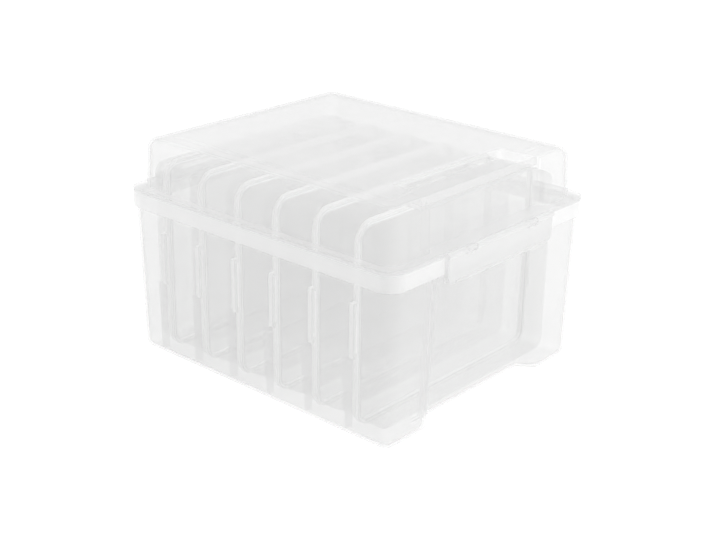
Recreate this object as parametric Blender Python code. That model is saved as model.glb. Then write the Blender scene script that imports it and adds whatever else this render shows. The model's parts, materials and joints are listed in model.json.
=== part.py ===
"""Photo keeper case: a clear tub with a hinged lid and a front latch, holding six photo cases.

Metres, +Z up. The origin is the centre of the tub's flat underside. The latch faces -Y, the hinge +Y.
The outer box is sized from the photo cases that stand in it, so the case sizes drive everything.
"""
import math

import bmesh
import bpy
from mathutils import Matrix

# Photo prints that the cases hold, with the room left round them
PRINT_LENGTH = 0.1778
PRINT_WIDTH = 0.1270
PRINT_END_ROOM = 0.0003
PRINT_TOP_ROOM = 0.00315

# Photo cases: two-part boxes for the prints, standing on their long sides
CASE_COUNT = 6
CASE_BASE_DEPTH = 0.0207
CASE_LID_DEPTH = 0.0145
CASE_WALL = 0.0010
CASE_FLANGE = 0.0021
CASE_FLANGE_THICK = 0.0016
CASE_FLANGE_CORNER = 0.0145
CASE_BODY_CORNER = 0.0095
CASE_FILLET = 0.0030
CASE_DRAFT = 0.0006
CASE_PLUG = 0.0030
CASE_PLUG_THICK = 0.0007
CASE_TAB_LENGTH = 0.0380
CASE_TAB_REACH = 0.0025
CASE_TAB_THICK = 0.0011
CASE_BARREL_RADIUS = 0.0016
CASE_BARREL_LENGTH = 0.0260

# Clearances
TOUCH_GAP = 0.0003
CASE_GAP = 0.0006
FRONT_CLEARANCE = 0.0009
BACK_CLEARANCE = 0.0022
SIDE_CLEARANCE = 0.0059
TOP_CLEARANCE = 0.0144
LIP_CLEARANCE = 0.0005
RIB_CLEARANCE = 0.0005
RIB_TIP_GAP = 0.0011
LATCH_GAP = 0.0003

# Tub
WALL = 0.0018
FLOOR = 0.0020
TUB_DRAFT = 0.0030
TUB_CORNER = 0.0110
TUB_FILLET = 0.0065
BAND_PROUD = 0.0020
BAND_HEIGHT = 0.0115
RIM_TOP = 0.1215
BAND_CORNER = 0.0130
RECESS_DEPTH = 0.0116
RECESS_HALF = 0.0585
RETURN_RUN = 0.0080
RECESS_CORNER = 0.0050
RECESS_BELOW_BAND = 0.0060
RIB_THICK = 0.0018
RIB_HEIGHT = 0.0530
RIB_REACH = 0.0035
BAND_CHAMFER = 0.0008
MOUTH_FLARE = 0.0040
MOUTH_ROUND = 0.0030

# Lid
FLANGE_THICK = 0.0025
LID_INSET = 0.0073
LID_DRAFT = 0.0015
LID_FILLET = 0.0080
LID_CORNER = 0.0115
PANEL_RISE = 0.0010
PANEL_INSET = 0.0150
PANEL_SLOPE = 0.0025
LIP_DEPTH = 0.0030
LIP_THICK = 0.0015
FRONT_RECESS_DEPTH = 0.0055
FRONT_RECESS_HALF = 0.0615
TROUGH_DEPTH = 0.0075
TROUGH_LENGTH = 0.0295
TROUGH_FLARE = 0.0035
TROUGH_CORNER = 0.0040
TROUGH_SIDE_GAP = 0.0004
LID_EDGE = 0.0010
LID_RECESS_CORNER = 0.0014

# Hinge at the back
HINGE_SPACING = 0.1240
BARREL_RADIUS = 0.0032
BARREL_LENGTH = 0.0140
PIN_RADIUS = 0.0018
PIN_CLEARANCE = 0.0003
EAR_RADIUS = 0.0037
EAR_THICK = 0.0030
HINGE_SETBACK = 0.0040

# Latch
LATCH_HALF = 0.0565
LATCH_THICK = 0.0022
LATCH_DROP = 0.0190
LATCH_CORNER = 0.0055
LATCH_STANDOFF = 0.0015
LATCH_SIDE = 0.0018
LATCH_BARREL = 0.0021
LATCH_ROD = 0.0012
LATCH_LIP = 0.0016
CLIP_SPACING = 0.0660
CLIP_WIDTH = 0.0090
CLIP_WALL = 0.0009
BEAD_SPACING = 0.0560
BEAD_LENGTH = 0.0120
LATCH_EDGE = 0.0006
GRIP_RADIUS = 0.0013

# How far a cutting shape runs past the face that it opens
CUT_PAST = 0.0200

CORNER_STEPS = 6
FILLET_STEPS = 3

# Sizes that follow from the ones above
CASE_EDGE = TOUCH_GAP + CASE_PLUG_THICK + CASE_WALL + CASE_FLANGE
CASE_LENGTH = PRINT_LENGTH + 2 * (PRINT_END_ROOM + CASE_EDGE)
CASE_HEIGHT = PRINT_WIDTH + 2 * (PRINT_TOP_ROOM + CASE_EDGE)
CASE_DEPTH = CASE_BASE_DEPTH + CASE_LID_DEPTH
CASE_PITCH = CASE_DEPTH + CASE_GAP
STACK_DEPTH = CASE_COUNT * CASE_PITCH - CASE_GAP
CASE_BOTTOM = FLOOR + TOUCH_GAP
CASE_TOP = CASE_BOTTOM + CASE_HEIGHT
LID_BASE = RIM_TOP + TOUCH_GAP
SHOULDER = LID_BASE + FLANGE_THICK
HEIGHT = CASE_TOP + TOP_CLEARANCE + WALL
BORDER_TOP = HEIGHT - PANEL_RISE
HALF_WIDTH = CASE_LENGTH / 2 + SIDE_CLEARANCE + WALL + TUB_DRAFT + BAND_PROUD
FRONT_ALLOWANCE = BAND_PROUD + TUB_DRAFT + RECESS_DEPTH + WALL + FRONT_CLEARANCE
BACK_ALLOWANCE = max(LID_INSET + LID_DRAFT, BAND_PROUD + TUB_DRAFT) + WALL + BACK_CLEARANCE
HALF_DEPTH = (FRONT_ALLOWANCE + STACK_DEPTH + BACK_ALLOWANCE) / 2
STACK_FRONT = -HALF_DEPTH + FRONT_ALLOWANCE
BAND_BOTTOM = RIM_TOP - BAND_HEIGHT
RECESS_TOP = BAND_BOTTOM - RECESS_BELOW_BAND
HINGE_Y = HALF_DEPTH + HINGE_SETBACK
HINGE_Z = RIM_TOP + TOUCH_GAP / 3
LATCH_Y = -(HALF_DEPTH + LATCH_STANDOFF + LATCH_THICK / 2)
LATCH_Z = SHOULDER - LATCH_BARREL + 0.0006
LATCH_BOTTOM = LATCH_Z - LATCH_DROP


def clear_scene():
    """Removes every object of the scene."""
    for obj in list(bpy.data.objects):
        bpy.data.objects.remove(obj, do_unlink=True)


def make_collection(name):
    """Makes a collection and links it to the scene."""
    collection = bpy.data.collections.new(name)
    bpy.context.scene.collection.children.link(collection)
    return collection


def make_material(name, color, roughness, alpha):
    """Makes a Principled material of a milky clear plastic."""
    material = bpy.data.materials.new(name)
    material.use_nodes = True
    shader = material.node_tree.nodes["Principled BSDF"]
    shader.inputs["Base Color"].default_value = (*color, 1.0)
    shader.inputs["Roughness"].default_value = roughness
    shader.inputs["Metallic"].default_value = 0.0
    shader.inputs["Alpha"].default_value = alpha
    return material


def fillet_polygon(points, radii, steps=CORNER_STEPS):
    """Rounds the corners of a polygon given anticlockwise, each by its own radius."""
    result = []
    count = len(points)
    for i, (x, y) in enumerate(points):
        ax, ay = points[i - 1]
        bx, by = points[(i + 1) % count]
        to_a = math.atan2(ay - y, ax - x)
        to_b = math.atan2(by - y, bx - x)
        turn = (to_a - to_b) % (2 * math.pi)
        half = turn / 2 if turn < math.pi else math.pi - turn / 2
        radius = radii[i]
        reach = min(radius / math.tan(half), 0.48 * math.dist((x, y), (ax, ay)), 0.48 * math.dist((x, y), (bx, by)))
        radius = reach * math.tan(half)
        mid = to_b + turn / 2 if turn < math.pi else to_b + turn / 2 + math.pi
        centre_x = x + radius / math.sin(half) * math.cos(mid)
        centre_y = y + radius / math.sin(half) * math.sin(mid)
        start_x, start_y = x + reach * math.cos(to_a), y + reach * math.sin(to_a)
        end_x, end_y = x + reach * math.cos(to_b), y + reach * math.sin(to_b)
        start = math.atan2(start_y - centre_y, start_x - centre_x)
        sweep = math.atan2(end_y - centre_y, end_x - centre_x) - start
        sweep = (sweep + math.pi) % (2 * math.pi) - math.pi
        for k in range(steps + 1):
            angle = start + sweep * k / steps
            result.append((centre_x + radius * math.cos(angle), centre_y + radius * math.sin(angle)))
    return result


def rounded_rectangle(half_x, half_y, radius, steps=CORNER_STEPS):
    """Outline of a rectangle about the origin with rounded corners."""
    corners = [(-half_x, -half_y), (half_x, -half_y), (half_x, half_y), (-half_x, half_y)]
    return fillet_polygon(corners, [max(radius, 0.0004)] * 4, steps)


def loft(name, sections, collection, axis="Z"):
    """Closed solid through like sections, each a height along the axis and an outline.

    With axis Y the outlines lie in the XZ plane and the heights run along +Y.
    """
    mesh = bpy.data.meshes.new(name)
    bm = bmesh.new()
    level, outline = sections[0]
    face = bm.faces.new([bm.verts.new((x, y, level)) for x, y in outline])
    for step, (level, outline) in enumerate(sections[1:]):
        below = face
        result = bmesh.ops.extrude_face_region(bm, geom=[below])
        face = next(item for item in result["geom"] if isinstance(item, bmesh.types.BMFace))
        for vert, (x, y) in zip(face.verts, outline):
            vert.co = (x, y, level)
        if step:
            bmesh.ops.delete(bm, geom=[below], context="FACES_ONLY")
    if axis == "Y":
        bmesh.ops.transform(bm, matrix=Matrix.Rotation(math.pi / 2, 4, "X"), verts=bm.verts)
        bmesh.ops.scale(bm, vec=(1, -1, 1), verts=bm.verts)
    bmesh.ops.recalc_face_normals(bm, faces=bm.faces)
    bm.to_mesh(mesh)
    bm.free()
    obj = bpy.data.objects.new(name, mesh)
    collection.objects.link(obj)
    return obj


def box(name, low, high, collection):
    """Axis-aligned block between two corners, from the cube primitive."""
    mesh = bpy.data.meshes.new(name)
    bm = bmesh.new()
    bmesh.ops.create_cube(bm, size=1.0)
    size = [b - a for a, b in zip(low, high)]
    bmesh.ops.scale(bm, vec=size, verts=bm.verts)
    bmesh.ops.translate(bm, vec=[(a + b) / 2 for a, b in zip(low, high)], verts=bm.verts)
    bm.to_mesh(mesh)
    bm.free()
    obj = bpy.data.objects.new(name, mesh)
    collection.objects.link(obj)
    return obj


def rod(name, centre, radius, length, collection, axis="X", segments=20):
    """Cylinder along X or Z about its centre, from the cone primitive."""
    mesh = bpy.data.meshes.new(name)
    bm = bmesh.new()
    bmesh.ops.create_cone(bm, cap_ends=True, segments=segments, radius1=radius, radius2=radius, depth=length)
    if axis == "X":
        bmesh.ops.rotate(bm, cent=(0, 0, 0), matrix=Matrix.Rotation(math.pi / 2, 3, "Y"), verts=bm.verts)
    bmesh.ops.translate(bm, vec=centre, verts=bm.verts)
    bm.to_mesh(mesh)
    bm.free()
    obj = bpy.data.objects.new(name, mesh)
    collection.objects.link(obj)
    return obj


def combine(target, tool, operation):
    """Adds an exact Boolean of one object to another."""
    modifier = target.modifiers.new(operation.title() + " " + tool.name, "BOOLEAN")
    modifier.operation = operation
    modifier.solver = "EXACT"
    modifier.object = tool
    tool.hide_render = True
    tool.display_type = "WIRE"
    return modifier


def finish_piece(obj, material, angle=35.0):
    """Gives a piece its material and smooth shading with sharp edges kept."""
    obj.data.materials.clear()
    obj.data.materials.append(material)
    obj.data.shade_smooth()
    obj.data.set_sharp_from_angle(angle=math.radians(angle))


def set_origin(obj, point):
    """Moves an object's origin to a point without moving its mesh."""
    obj.data.transform(Matrix.Translation([-c for c in point]))
    obj.location = point


# Tub

def tub_inset(z):
    """How far the drafted tub wall stands inside its outline at the rim."""
    return TUB_DRAFT * (1 - z / RIM_TOP)


def tub_outline(inset):
    """Outline of the tub wall, that far inside the wall at the rim."""
    return rounded_rectangle(HALF_WIDTH - BAND_PROUD - inset, HALF_DEPTH - BAND_PROUD - inset, TUB_CORNER - inset)


def recess_outline(grow):
    """Outline of the void in front of the recessed front panel, enlarged by the given amount."""
    half = RECESS_HALF + grow
    panel_y = -(HALF_DEPTH - BAND_PROUD - RECESS_DEPTH) + grow
    front_y = -(HALF_DEPTH + CUT_PAST)
    mouth_y = -(HALF_DEPTH - BAND_PROUD) + grow
    points = [(-half - MOUTH_FLARE, front_y), (half + MOUTH_FLARE, front_y), (half, mouth_y),
              (half - RETURN_RUN, panel_y), (-half + RETURN_RUN, panel_y), (-half, mouth_y)]
    radius = max(RECESS_CORNER - grow, 0.0006)
    return fillet_polygon(points, [0.0004, 0.0004, MOUTH_ROUND, radius, radius, MOUTH_ROUND], 4)


def fillet_sections(radius, steps=FILLET_STEPS):
    """Pairs of height and extra inset along a quarter-round bottom edge."""
    for k in range(steps + 1):
        angle = math.pi / 2 * k / steps
        yield radius * (1 - math.cos(angle)), radius * (1 - math.sin(angle))


def rib_outline():
    """Outline in XZ of a side rib, rooted half way into the wall, its bottom edge and the floor."""
    tip = CASE_LENGTH / 2 - CASE_FLANGE + RIB_TIP_GAP
    middle = HALF_WIDTH - BAND_PROUD - WALL / 2
    root = [(middle - tub_inset(FLOOR / 2 + z) - extra, FLOOR / 2 + z)
            for z, extra in fillet_sections(TUB_FILLET - WALL / 2)]
    top = RIB_HEIGHT + RIB_REACH
    return [(tip, FLOOR / 2)] + root + [(middle - tub_inset(top), top), (tip, RIB_HEIGHT)]


def build_tub(parts, tools, material):
    """Drafted tub with band, recessed front panel, ribs and hinge ears."""
    sections = [(z, tub_outline(tub_inset(z) + extra)) for z, extra in fillet_sections(TUB_FILLET)]
    sections.append((RIM_TOP - 0.0006, tub_outline(tub_inset(RIM_TOP - 0.0006))))
    tub = loft("tub", sections, parts)

    chamfer = BAND_CHAMFER
    band = loft("band", [
        (BAND_BOTTOM, rounded_rectangle(HALF_WIDTH - chamfer, HALF_DEPTH - chamfer, BAND_CORNER - chamfer)),
        (BAND_BOTTOM + chamfer, rounded_rectangle(HALF_WIDTH, HALF_DEPTH, BAND_CORNER)),
        (RIM_TOP, rounded_rectangle(HALF_WIDTH, HALF_DEPTH, BAND_CORNER))], tools)
    combine(tub, band, "UNION")

    void = [(-0.001, recess_outline(tub_inset(0) + TUB_FILLET * 1.1))]
    void += [(z, recess_outline(tub_inset(z) + extra)) for z, extra in fillet_sections(TUB_FILLET)]
    void.append((RECESS_TOP, recess_outline(tub_inset(RECESS_TOP))))
    combine(tub, loft("front_recess", void, tools), "DIFFERENCE")

    inner_fillet = TUB_FILLET - WALL
    hollow = [(FLOOR + z, tub_outline(tub_inset(FLOOR + z) + WALL + extra))
              for z, extra in fillet_sections(inner_fillet)]
    hollow.append((RIM_TOP + 0.004, tub_outline(WALL - TUB_DRAFT * 0.004 / RIM_TOP)))
    cavity = loft("tub_cavity", hollow, tools)
    bump = [(-0.002, recess_outline(tub_inset(0) + WALL + TUB_FILLET))]
    bump += [(FLOOR + z, recess_outline(tub_inset(FLOOR + z) + WALL + extra))
             for z, extra in fillet_sections(inner_fillet)]
    bump.append((RECESS_TOP + WALL, recess_outline(tub_inset(RECESS_TOP) + WALL)))
    combine(cavity, loft("recess_bump", bump, tools), "DIFFERENCE")
    combine(tub, cavity, "DIFFERENCE")

    # One low rib on each side wall stands just behind each case's flange
    for index in range(CASE_COUNT):
        rib_y = case_seam(index) + TOUCH_GAP / 2 + CASE_FLANGE_THICK + RIB_CLEARANCE + RIB_THICK / 2
        for side, sign in (("left", -1), ("right", 1)):
            outline = [(sign * x, z) for x, z in rib_outline()]
            if sign < 0:
                outline.reverse()
            name = "rib_%s_%d" % (side, index + 1)
            rib = loft(name, [(rib_y - RIB_THICK / 2, outline), (rib_y + RIB_THICK / 2, outline)], tools, axis="Y")
            combine(tub, rib, "UNION")

    for sign in (-1, 1):
        for inner in (-1, 1):
            x = sign * HINGE_SPACING / 2 + inner * (BARREL_LENGTH / 2 + PIN_CLEARANCE + EAR_THICK / 2)
            name = "ear_%s%s" % ("L" if sign < 0 else "R", "a" if inner < 0 else "b")
            ear = rod(name, (x, HINGE_Y, HINGE_Z), EAR_RADIUS, EAR_THICK, tools, segments=24)
            foot = box(name + "_foot", (x - EAR_THICK / 2 + 0.0001, HALF_DEPTH - 0.0012, BAND_BOTTOM + 0.0012),
                       (x + EAR_THICK / 2 - 0.0001, HINGE_Y + EAR_RADIUS * 0.55, HINGE_Z - EAR_RADIUS * 0.4), tools)
            combine(ear, foot, "UNION")
            combine(tub, ear, "UNION")
        bore = rod("bore_%s" % ("L" if sign < 0 else "R"), (sign * HINGE_SPACING / 2, HINGE_Y, HINGE_Z),
                   PIN_RADIUS + PIN_CLEARANCE, BARREL_LENGTH + 3 * EAR_THICK, tools, segments=20)
        combine(tub, bore, "DIFFERENCE")
    finish_piece(tub, material)
    return tub


# Lid

def lid_outline(z, inset):
    """Outline of the dome wall at a height, that far inside its outer face."""
    share = (z - SHOULDER) / (BORDER_TOP - LID_FILLET - SHOULDER)
    inset = inset + LID_INSET + LID_DRAFT * min(share, 1)
    return rounded_rectangle(HALF_WIDTH - inset, HALF_DEPTH - inset, LID_CORNER - (inset - LID_INSET))


def dome_sections(bottom, top, fillet, inset):
    """Sections of the dome from a height up to its rounded top edge."""
    sections = [(bottom, lid_outline(bottom, inset))]
    for k in range(FILLET_STEPS + 2):
        angle = math.pi / 2 * k / (FILLET_STEPS + 1)
        z = top - fillet + fillet * math.sin(angle)
        sections.append((z, lid_outline(z, inset + fillet * (1 - math.cos(angle)))))
    return sections


def trough_outline(grow):
    """Plan of the finger trough behind the lid's front panel, which widens towards the front."""
    back_half = FRONT_RECESS_HALF - TROUGH_FLARE + grow
    front_half = FRONT_RECESS_HALF - TROUGH_SIDE_GAP + grow
    front_y = -(HALF_DEPTH - LID_INSET - FRONT_RECESS_DEPTH) + WALL - grow
    back_y = front_y + grow + TROUGH_LENGTH + grow
    points = [(-front_half, front_y), (front_half, front_y), (back_half, back_y), (-back_half, back_y)]
    corner = TROUGH_CORNER + grow
    return fillet_polygon(points, [0.0010, 0.0010, corner, corner], 4)


def build_lid(parts, tools, material):
    """Domed lid with flange, lip, raised panel, finger trough, hinge barrels and latch clips."""
    edge = LID_EDGE
    lid = loft("lid", [
        (LID_BASE, rounded_rectangle(HALF_WIDTH, HALF_DEPTH, BAND_CORNER)),
        (SHOULDER - edge, rounded_rectangle(HALF_WIDTH, HALF_DEPTH, BAND_CORNER)),
        (SHOULDER - edge * 0.3, rounded_rectangle(HALF_WIDTH - edge * 0.3, HALF_DEPTH - edge * 0.3,
                                                  BAND_CORNER - edge * 0.3)),
        (SHOULDER, rounded_rectangle(HALF_WIDTH - edge, HALF_DEPTH - edge, BAND_CORNER - edge))], parts)
    dome = loft("dome", dome_sections(LID_BASE + 0.0008, BORDER_TOP, LID_FILLET, 0.0), tools)
    combine(lid, dome, "UNION")
    panel = loft("raised_panel", [
        (BORDER_TOP - 0.0010, lid_outline(BORDER_TOP, PANEL_INSET)),
        (BORDER_TOP, lid_outline(BORDER_TOP, PANEL_INSET)),
        (HEIGHT, lid_outline(BORDER_TOP, PANEL_INSET + PANEL_SLOPE))], tools)
    combine(lid, panel, "UNION")

    front_panel = -(HALF_DEPTH - LID_INSET - FRONT_RECESS_DEPTH)
    recess = loft("lid_front_recess", [(SHOULDER, lid_recess_plan(0.0, front_panel)),
                                       (HEIGHT + CUT_PAST / 2, lid_recess_plan(0.0, front_panel + LID_DRAFT))], tools)
    combine(lid, recess, "DIFFERENCE")
    trough_floor = BORDER_TOP - TROUGH_DEPTH
    fillet = TROUGH_CORNER * 0.5
    trough = loft("finger_trough", [
        (trough_floor, trough_outline(-fillet)),
        (trough_floor + fillet * 0.3, trough_outline(-fillet * 0.3)),
        (trough_floor + fillet, trough_outline(0.0)),
        (HEIGHT + CUT_PAST / 2, trough_outline(0.0))], tools)
    combine(lid, trough, "DIFFERENCE")

    cavity = loft("lid_cavity", dome_sections(LID_BASE - 0.004, BORDER_TOP - WALL, LID_FILLET - WALL, WALL), tools)
    inner_recess = loft("lid_front_wall", [(LID_BASE - 0.01, lid_recess_plan(WALL, front_panel - 0.0006)),
                                           (HEIGHT + CUT_PAST / 2, lid_recess_plan(WALL, front_panel + LID_DRAFT))], tools)
    combine(cavity, inner_recess, "DIFFERENCE")
    inner_trough = loft("trough_skin", [(trough_floor - WALL, trough_outline(WALL * 0.4)),
                                        (trough_floor, trough_outline(WALL)),
                                        (HEIGHT + CUT_PAST / 2, trough_outline(WALL))], tools)
    combine(cavity, inner_trough, "DIFFERENCE")
    combine(lid, cavity, "DIFFERENCE")

    # Locating lip that drops inside the tub's rim
    outer = BAND_PROUD + WALL + LIP_CLEARANCE
    lip = loft("locating_lip", [
        (LID_BASE - LIP_DEPTH, lip_outline(outer + 0.0004)),
        (LID_BASE - LIP_DEPTH * 0.6, lip_outline(outer)),
        (LID_BASE + 0.0010, lip_outline(outer))], tools)
    bore = loft("lip_bore", [
        (LID_BASE - LIP_DEPTH - 0.001, lip_outline(outer + LIP_THICK)),
        (LID_BASE + 0.0050, lip_outline(outer + LIP_THICK))], tools)
    combine(lip, bore, "DIFFERENCE")
    combine(lid, lip, "UNION")

    for sign in (-1, 1):
        side = "L" if sign < 0 else "R"
        x = sign * HINGE_SPACING / 2
        barrel = rod("barrel_" + side, (x, HINGE_Y, HINGE_Z), BARREL_RADIUS, BARREL_LENGTH, tools, segments=24)
        pin_length = BARREL_LENGTH + 2 * (PIN_CLEARANCE + EAR_THICK)
        pin = rod("pin_" + side, (x, HINGE_Y, HINGE_Z), PIN_RADIUS, pin_length, tools, segments=20)
        arm = box("arm_" + side, (x - BARREL_LENGTH / 2 + 0.0004, HALF_DEPTH - 0.004, LID_BASE + 0.0002),
                  (x + BARREL_LENGTH / 2 - 0.0004, HINGE_Y, SHOULDER - 0.0002), tools)
        combine(barrel, pin, "UNION")
        combine(barrel, arm, "UNION")
        combine(lid, barrel, "UNION")

        clip_x = sign * CLIP_SPACING / 2
        clip_bore = LATCH_ROD + PIN_CLEARANCE
        clip = rod("clip_" + side, (clip_x, LATCH_Y, LATCH_Z), clip_bore + CLIP_WALL, CLIP_WIDTH, tools, segments=20)
        clip_arm = box("clip_arm_" + side, (clip_x - CLIP_WIDTH / 2 + 0.0002, LATCH_Y, LATCH_Z - 0.0006),
                       (clip_x + CLIP_WIDTH / 2 - 0.0002, -HALF_DEPTH + 0.004, SHOULDER - 0.0002), tools)
        hole = rod("clip_hole_" + side, (clip_x, LATCH_Y, LATCH_Z), clip_bore, CLIP_WIDTH * 2, tools, segments=20)
        combine(clip, clip_arm, "UNION")
        combine(clip, hole, "DIFFERENCE")
        combine(lid, clip, "UNION")
    finish_piece(lid, material)
    set_origin(lid, (0.0, HINGE_Y, HINGE_Z))
    return lid


def lip_outline(inset):
    """Outline inside the band's outer face by the given amount."""
    return rounded_rectangle(HALF_WIDTH - inset, HALF_DEPTH - inset, TUB_CORNER - (inset - BAND_PROUD))


def lid_recess_plan(grow, panel_y):
    """Plan of the void in front of the lid's recessed front panel."""
    half = FRONT_RECESS_HALF + grow
    front_y = -(HALF_DEPTH + CUT_PAST)
    points = [(-half, front_y), (half, front_y), (half, panel_y + grow), (-half, panel_y + grow)]
    return fillet_polygon(points, [0.0004, 0.0004, LID_RECESS_CORNER, LID_RECESS_CORNER], 3)


# Latch

def build_latch(parts, tools, material):
    """Wide latch flap with side returns, inner beads and two windows crossed by a pivot rod."""
    inner_y = -HALF_DEPTH - LATCH_GAP
    plate_y = LATCH_Y + LATCH_THICK / 2
    outer_y = LATCH_Y - LATCH_THICK / 2
    edge = LATCH_EDGE
    corners = [(-LATCH_HALF, LATCH_BOTTOM), (LATCH_HALF, LATCH_BOTTOM), (LATCH_HALF, LATCH_Z), (-LATCH_HALF, LATCH_Z)]
    inset = [(-LATCH_HALF + edge, LATCH_BOTTOM + edge), (LATCH_HALF - edge, LATCH_BOTTOM + edge),
             (LATCH_HALF - edge, LATCH_Z), (-LATCH_HALF + edge, LATCH_Z)]
    radii = [LATCH_CORNER, LATCH_CORNER, 0.0003, 0.0003]
    latch = loft("latch", [
        (outer_y, fillet_polygon(inset, radii, 5)),
        (outer_y + edge, fillet_polygon(corners, radii, 5)),
        (inner_y, fillet_polygon(corners, radii, 5))], parts, axis="Y")
    pocket_half = LATCH_HALF - LATCH_SIDE
    pocket_low = LATCH_BOTTOM + LATCH_LIP
    pocket = [(-pocket_half, pocket_low), (pocket_half, pocket_low), (pocket_half, LATCH_Z + 0.01),
              (-pocket_half, LATCH_Z + 0.01)]
    radii = [LATCH_CORNER - LATCH_SIDE, LATCH_CORNER - LATCH_SIDE, 0.0003, 0.0003]
    combine(latch, loft("latch_pocket", [(plate_y, fillet_polygon(pocket, radii, 5)),
                                         (inner_y + 0.01, fillet_polygon(pocket, radii, 5))], tools, axis="Y"),
            "DIFFERENCE")
    top = rod("latch_barrel", (0, LATCH_Y, LATCH_Z), LATCH_BARREL, 2 * LATCH_HALF, tools, segments=20)
    combine(latch, top, "UNION")
    grip = rod("latch_grip", (0, outer_y + 0.0004, LATCH_BOTTOM + 0.0014), GRIP_RADIUS,
               2 * (LATCH_HALF - LATCH_CORNER - 0.002), tools, segments=14)
    combine(latch, grip, "UNION")
    for sign in (-1, 1):
        side = "L" if sign < 0 else "R"
        bead_x = sign * BEAD_SPACING / 2
        bead = box("bead_" + side, (bead_x - BEAD_LENGTH / 2, plate_y - 0.0008, pocket_low - 0.0004),
                   (bead_x + BEAD_LENGTH / 2, inner_y, BAND_BOTTOM - 0.0010), tools)
        combine(latch, bead, "UNION")
        clip_x = sign * CLIP_SPACING / 2
        half = CLIP_WIDTH / 2 + TOUCH_GAP + 0.0002
        clear = LATCH_ROD + PIN_CLEARANCE + CLIP_WALL + TOUCH_GAP + 0.0003
        window = box("window_" + side, (clip_x - half, LATCH_Y - 0.006, LATCH_Z - clear),
                     (clip_x + half, LATCH_Y + 0.006, LATCH_Z + 0.006), tools)
        pivot = rod("pivot_" + side, (clip_x, LATCH_Y, LATCH_Z), LATCH_ROD, 2 * half + 0.003, tools, segments=16)
        combine(latch, window, "DIFFERENCE")
        combine(latch, pivot, "UNION")
    finish_piece(latch, material)
    set_origin(latch, (0.0, LATCH_Y, LATCH_Z))
    return latch


# Photo cases

def case_seam(index):
    """Y of the seam plane between a case's two halves, counted from the front."""
    return STACK_FRONT + index * CASE_PITCH + CASE_BASE_DEPTH


def case_outline(inset, corner=CASE_FLANGE_CORNER):
    """Outline of a case in XZ about its own centre, inside its flange by the given amount."""
    return rounded_rectangle(CASE_LENGTH / 2 - inset, CASE_HEIGHT / 2 - inset, corner, 4)


def body_outline(inset):
    """Outline of a case's walls, inside the outer face of the wall at the flange by the given amount."""
    return case_outline(CASE_FLANGE + inset, CASE_BODY_CORNER - inset)


def half_shell(name, depth, sign, collection, tools):
    """One half of a case: a flanged tray that opens towards the seam plane at Y = 0."""
    seam = TOUCH_GAP / 2
    step = seam + CASE_FLANGE_THICK
    levels = [(depth, body_outline(CASE_DRAFT + CASE_FILLET)),
              (depth - CASE_FILLET * 0.3, body_outline(CASE_DRAFT + CASE_FILLET * 0.3)),
              (depth - CASE_FILLET, body_outline(CASE_DRAFT)),
              (step, body_outline(0.0)),
              (step - 0.0001, case_outline(0.0004)),
              (step - 0.0005, case_outline(0.0)),
              (seam, case_outline(0.0))]
    shell = loft(name, [(sign * y, outline) for y, outline in levels], collection, axis="Y")
    inner = CASE_FILLET - CASE_WALL
    hollow = [(depth - CASE_WALL, body_outline(CASE_DRAFT + CASE_WALL + inner)),
              (depth - CASE_WALL - inner, body_outline(CASE_DRAFT + CASE_WALL)),
              (-0.002, body_outline(CASE_WALL))]
    cavity = loft(name + "_cavity", [(sign * y, outline) for y, outline in hollow], tools, axis="Y")
    combine(shell, cavity, "DIFFERENCE")
    return shell


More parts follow.
